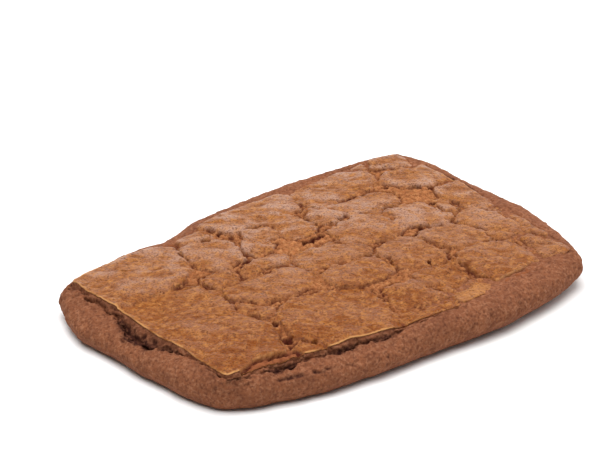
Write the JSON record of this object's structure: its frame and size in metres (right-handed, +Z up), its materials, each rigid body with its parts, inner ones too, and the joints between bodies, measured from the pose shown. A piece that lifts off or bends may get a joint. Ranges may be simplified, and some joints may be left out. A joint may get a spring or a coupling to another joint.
{
  "type": "speculoos biscuit",
  "caption": "Thick oblong spiced biscuit with a crackled crust in plates, standing proud of rough crumb, over bulging sides and a flat base.",
  "frame": {"origin": "middle of the flat base's bounding rectangle, on the surface the biscuit lies on", "axes": "+X along the biscuit's length, +Y across it, +Z up out of the crackled crust"},
  "size_m": [0.148, 0.1048, 0.0129],
  "materials": {
    "baked_dough": "dry baked dough, matte, with a faint satin sheen on the crust's plates"
  },
  "bodies": {
    "root": {"speculoos_biscuit": "baked_dough"}
  },
  "joints": []
}
